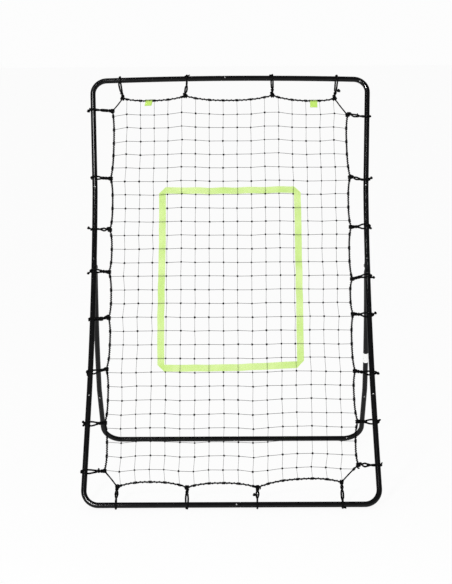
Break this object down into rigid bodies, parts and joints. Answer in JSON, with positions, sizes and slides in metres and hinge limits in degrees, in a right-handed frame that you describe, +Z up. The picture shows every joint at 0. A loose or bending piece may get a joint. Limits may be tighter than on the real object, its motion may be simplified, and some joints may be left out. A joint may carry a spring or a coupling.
{
  "type": "soccer rebound net",
  "caption": "Leaning tube frame with a net laced into it, a square target band and a rear stand that folds flat.",
  "frame": {"origin": "on the floor, under the middle of the object's bounding box", "axes": "+Z up, +X to the right as seen from the front, +Y away from the player, from the net towards the rear stand"},
  "size_m": [1.0412, 0.8646, 1.4338],
  "materials": {
    "tube": "black powder coat, satin",
    "bracket": "black powder coat, satin",
    "fastener": "bright zinc plated",
    "snap_button": "bright spring steel",
    "rope": "black twisted rope, matte",
    "lashing": "black cord, matte",
    "net": "black knotted twine, matte",
    "band": "fluorescent yellow-green webbing",
    "tab": "fluorescent yellow-green ribbon",
    "label": "white film, bare"
  },
  "bodies": {
    "front_frame": {"border_rope": "rope", "bottom_lashing_1": "lashing", "bottom_lashing_2": "lashing", "bottom_lashing_3": "lashing", "bottom_lashing_4": "lashing", "bottom_left_corner_tube": "tube", "bottom_right_corner_tube": "tube", "left_bracket_bolt": "fastener", "left_bracket_nut": "fastener", "left_fold_bracket": "bracket", "left_lashing_1": "lashing", "left_lashing_2": "lashing", "left_lashing_3": "lashing", "left_lashing_4": "lashing", "left_lashing_5": "lashing", "left_lashing_6": "lashing", "left_lashing_7": "lashing", "left_lashing_8": "lashing", "left_pivot_bolt": "fastener", "left_pivot_nut": "fastener", "left_side_tube": "tube", "left_tab": "tab", "net": "net", "right_bracket_bolt": "fastener", "right_bracket_nut": "fastener", "right_fold_bracket": "bracket", "right_lashing_1": "lashing", "right_lashing_2": "lashing", "right_lashing_3": "lashing", "right_lashing_4": "lashing", "right_lashing_5": "lashing", "right_lashing_6": "lashing", "right_lashing_7": "lashing", "right_lashing_8": "lashing", "right_pivot_bolt": "fastener", "right_pivot_nut": "fastener", "right_side_tube": "tube", "right_tab": "tab", "target_band": "band", "top_lashing_1": "lashing", "top_lashing_2": "lashing", "top_lashing_3": "lashing", "top_lashing_4": "lashing", "top_left_corner_tube": "tube", "top_right_corner_tube": "tube"},
    "rear_stand": {"rear_left_corner_tube": "tube", "rear_right_corner_tube": "tube", "left_rear_leg_tube": "tube", "right_rear_leg_tube": "tube", "label_band": "label"},
    "bottom_snap_button": {"bottom_snap_button": "snap_button"},
    "left_lower_snap_button": {"left_lower_snap_button": "snap_button"},
    "left_stand_snap_button": {"left_stand_snap_button": "snap_button"},
    "left_upper_snap_button": {"left_upper_snap_button": "snap_button"},
    "rear_snap_button": {"rear_snap_button": "snap_button"},
    "right_lower_snap_button": {"right_lower_snap_button": "snap_button"},
    "right_stand_snap_button": {"right_stand_snap_button": "snap_button"},
    "right_upper_snap_button": {"right_upper_snap_button": "snap_button"},
    "top_snap_button": {"top_snap_button": "snap_button"}
  },
  "joints": [
    {"name": "stand_fold", "type": "hinge", "parent": "front_frame", "child": "rear_stand", "pos_m": [0, -0.01914, 0.76354], "axis": [-1, 0, 0], "range_deg": [0, 55]},
    {"name": "bottom_button_press", "type": "slide", "parent": "front_frame", "child": "bottom_snap_button", "axis": [0, 0.9026, -0.4305], "range_m": [0, 0.0038], "stiffness_N_per_m": 1500, "springref_m": -0.002},
    {"name": "left_lower_button_press", "type": "slide", "parent": "front_frame", "child": "left_lower_snap_button", "axis": [0, 0.9026, -0.4305], "range_m": [0, 0.0038], "stiffness_N_per_m": 1500, "springref_m": -0.002},
    {"name": "left_stand_button_press", "type": "slide", "parent": "rear_stand", "child": "left_stand_snap_button", "axis": [0, 0.8627, 0.5057], "range_m": [0, 0.0038], "stiffness_N_per_m": 1500, "springref_m": -0.002},
    {"name": "left_upper_button_press", "type": "slide", "parent": "front_frame", "child": "left_upper_snap_button", "axis": [0, 0.9026, -0.4305], "range_m": [0, 0.0038], "stiffness_N_per_m": 1500, "springref_m": -0.002},
    {"name": "rear_button_press", "type": "slide", "parent": "rear_stand", "child": "rear_snap_button", "axis": [0, 0.8627, 0.5057], "range_m": [0, 0.0038], "stiffness_N_per_m": 1500, "springref_m": -0.002},
    {"name": "right_lower_button_press", "type": "slide", "parent": "front_frame", "child": "right_lower_snap_button", "axis": [0, 0.9026, -0.4305], "range_m": [0, 0.0038], "stiffness_N_per_m": 1500, "springref_m": -0.002},
    {"name": "right_stand_button_press", "type": "slide", "parent": "rear_stand", "child": "right_stand_snap_button", "axis": [0, 0.8627, 0.5057], "range_m": [0, 0.0038], "stiffness_N_per_m": 1500, "springref_m": -0.002},
    {"name": "right_upper_button_press", "type": "slide", "parent": "front_frame", "child": "right_upper_snap_button", "axis": [0, 0.9026, -0.4305], "range_m": [0, 0.0038], "stiffness_N_per_m": 1500, "springref_m": -0.002},
    {"name": "top_button_press", "type": "slide", "parent": "front_frame", "child": "top_snap_button", "axis": [0, 0.9026, -0.4305], "range_m": [0, 0.0038], "stiffness_N_per_m": 1500, "springref_m": -0.002}
  ]
}
